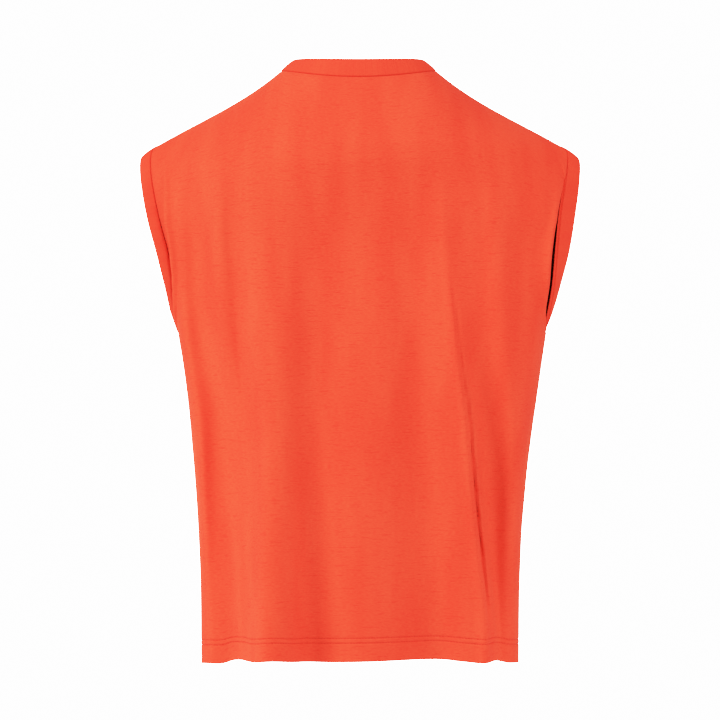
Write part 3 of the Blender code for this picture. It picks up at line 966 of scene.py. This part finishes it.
# ---------------------------------------------------------------- the garment
jersey = cloth_look(
    "slub_jersey",
    dark=(0.53, 0.037, 0.0195),
    light=(0.60, 0.057, 0.029),
    streaks=(70, 480),
    sparse=(0.58, 0.72),
    relief=0.35,
)
rib = cloth_look(
    "rib",
    dark=(0.52, 0.038, 0.0205),
    light=(0.57, 0.050, 0.0255),
    streaks=(900, 30),
    sparse=(0.3, 0.7),
    relief=0.25,
)
thread = plain_look("thread", (0.26, 0.015, 0.009), 0.6)

back, back_stitches = panel("back_cloth", 1, BACK_FOLDS, BACK_CREASES, jersey, thread)
front, front_stitches = panel("front_cloth", -1, FRONT_FOLDS, FRONT_CREASES, jersey, thread)
neckband = neckband_piece(rib)
arm_bands = {"left": armhole_piece(1, rib), "right": armhole_piece(-1, rib)}

# ---------------------------------------------------------------- the stage
# Places are in metres here, and powers in watts.
CORNERS = ((-1, -1), (1, -1), (1, 1), (-1, 1))
FLOOR_HALF = 0.8
FLOOR_HEIGHT = -1.4
FLOOR_COLOUR = (0.93, 0.93, 0.93, 1)
WHITE = (1, 1, 1, 1)
GROUND_SEEN = 5.0  # brightness of the white ground behind the garment
GROUND_LIGHT = 0.56  # and of the light that comes from all round
TRUNK = (0, 0, -0.3)
# Each lamp's name, place, what it points at, width and power
LIGHTS = (
    ("key", (3.9, 2.2, 1.2), TRUNK, 1.6, 270),
    ("fill", (-2.0, 3.9, 1.0), TRUNK, 1.6, 180),
    ("overhead", (0, 0.8, 3.4), (0, 0, 0), 2.0, 46),
    ("low_left", (0.9, 0.1, -0.75), (0, 0, -0.45), 0.5, 4.8),
    ("low_right", (-0.9, 0.2, -0.75), (0, 0, -0.45), 0.5, 3.4),
)
FRONT_LIGHT = ("front_key", (1.6, -4.2, 1.2), TRUNK, 1.6, 205)
SENSOR = 36  # millimetres across
PHOTO_WIDTH = 720  # pixels
PIXEL = 1.024e-3  # metres that one spans at the garment's middle
CAMERA_PLACE = (-0.0006, 4.5, -0.256)
BRIGHTEST = 4.0  # light where the picture's tones end
FILM = (
    (0.03, 0.027),
    (0.065, 0.059),
    (0.1, 0.098),
    (0.14, 0.151),
    (0.2, 0.24),
    (0.3, 0.38),
    (0.64, 0.725),
    (0.9, 0.84),
    (1.34, 0.935),
    (2.2, 0.99),
)  # light in, light shown


def pale_floor():
    """A square of floor under the garment."""
    corners = [(x * FLOOR_HALF, y * FLOOR_HALF, FLOOR_HEIGHT) for x, y in CORNERS]
    mesh = bpy.data.meshes.new("floor")
    mesh.from_pydata(corners, [], [(0, 1, 2, 3)])
    look = bpy.data.materials.new("pale_floor")
    look.use_nodes = True
    look.node_tree.nodes["Principled BSDF"].inputs["Base Color"].default_value = FLOOR_COLOUR
    mesh.materials.append(look)
    made = bpy.data.objects.new("floor", mesh)
    bpy.context.scene.collection.objects.link(made)
    return made


def white_ground():
    """A white ground behind the garment, and softer light from all round."""
    world = bpy.data.worlds.new("studio")
    world.use_nodes = True
    bpy.context.scene.world = world
    nodes, links = world.node_tree.nodes, world.node_tree.links
    seen = nodes["Background"]
    soft = nodes.new("ShaderNodeBackground")
    for ground, strength in ((seen, GROUND_SEEN), (soft, GROUND_LIGHT)):
        ground.inputs["Color"].default_value = WHITE
        ground.inputs["Strength"].default_value = strength
    path = nodes.new("ShaderNodeLightPath")
    mix = nodes.new("ShaderNodeMixShader")
    links.new(path.outputs["Is Camera Ray"], mix.inputs["Fac"])
    links.new(soft.outputs[0], mix.inputs[1])
    links.new(seen.outputs[0], mix.inputs[2])
    links.new(mix.outputs[0], nodes["World Output"].inputs["Surface"])


def area(name, place, aim, size, power):
    """A square lamp of a size and power, at a place and aimed at another."""
    light = bpy.data.lights.new(name, "AREA")
    light.shape = "SQUARE"
    light.size = size
    light.energy = power
    made = bpy.data.objects.new(name, light)
    made.location = place
    direction = Vector(aim) - Vector(place)
    made.rotation_euler = direction.to_track_quat("-Z", "Y").to_euler()
    bpy.context.scene.collection.objects.link(made)
    return made


def photograph_camera():
    """The camera behind the garment, level and square to it."""
    camera = bpy.data.objects.new("camera", bpy.data.cameras.new("camera"))
    camera.data.sensor_width = SENSOR
    camera.data.lens = SENSOR * CAMERA_PLACE[1] / (PHOTO_WIDTH * PIXEL)
    camera.location = CAMERA_PLACE
    camera.rotation_euler = (np.pi / 2, 0, np.pi)
    bpy.context.scene.collection.objects.link(camera)
    bpy.context.scene.camera = camera


def film_tone():
    """How light becomes tone in the picture."""
    view = bpy.context.scene.view_settings
    view.view_transform = "Standard"
    view.use_curve_mapping = True
    view.curve_mapping.white_level = (BRIGHTEST, BRIGHTEST, BRIGHTEST)
    curve = view.curve_mapping.curves[3]
    curve.points[0].location = (0, 0)
    curve.points[1].location = (1, 1)
    for light_in, shown in FILM:
        curve.points.new(light_in / BRIGHTEST, shown)
    view.curve_mapping.update()


floor = pale_floor()
white_ground()
for light in LIGHTS:
    area(*light)
front_light = area(*FRONT_LIGHT)
front_light.visible_glossy = False
photograph_camera()
film_tone()

# ---------------------------------------------------------------- what stands for what
for piece, node, slot in (
    (back, "back_panel", "jersey"),
    (front, "front_panel", "jersey"),
    (neckband, "neckband", "band"),
    (arm_bands["left"], "armhole_band_left", "band"),
    (arm_bands["right"], "armhole_band_right", "band"),
):
    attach(piece, "root")
    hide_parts(node)
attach(back_stitches, "root")
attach(front_stitches, "root")
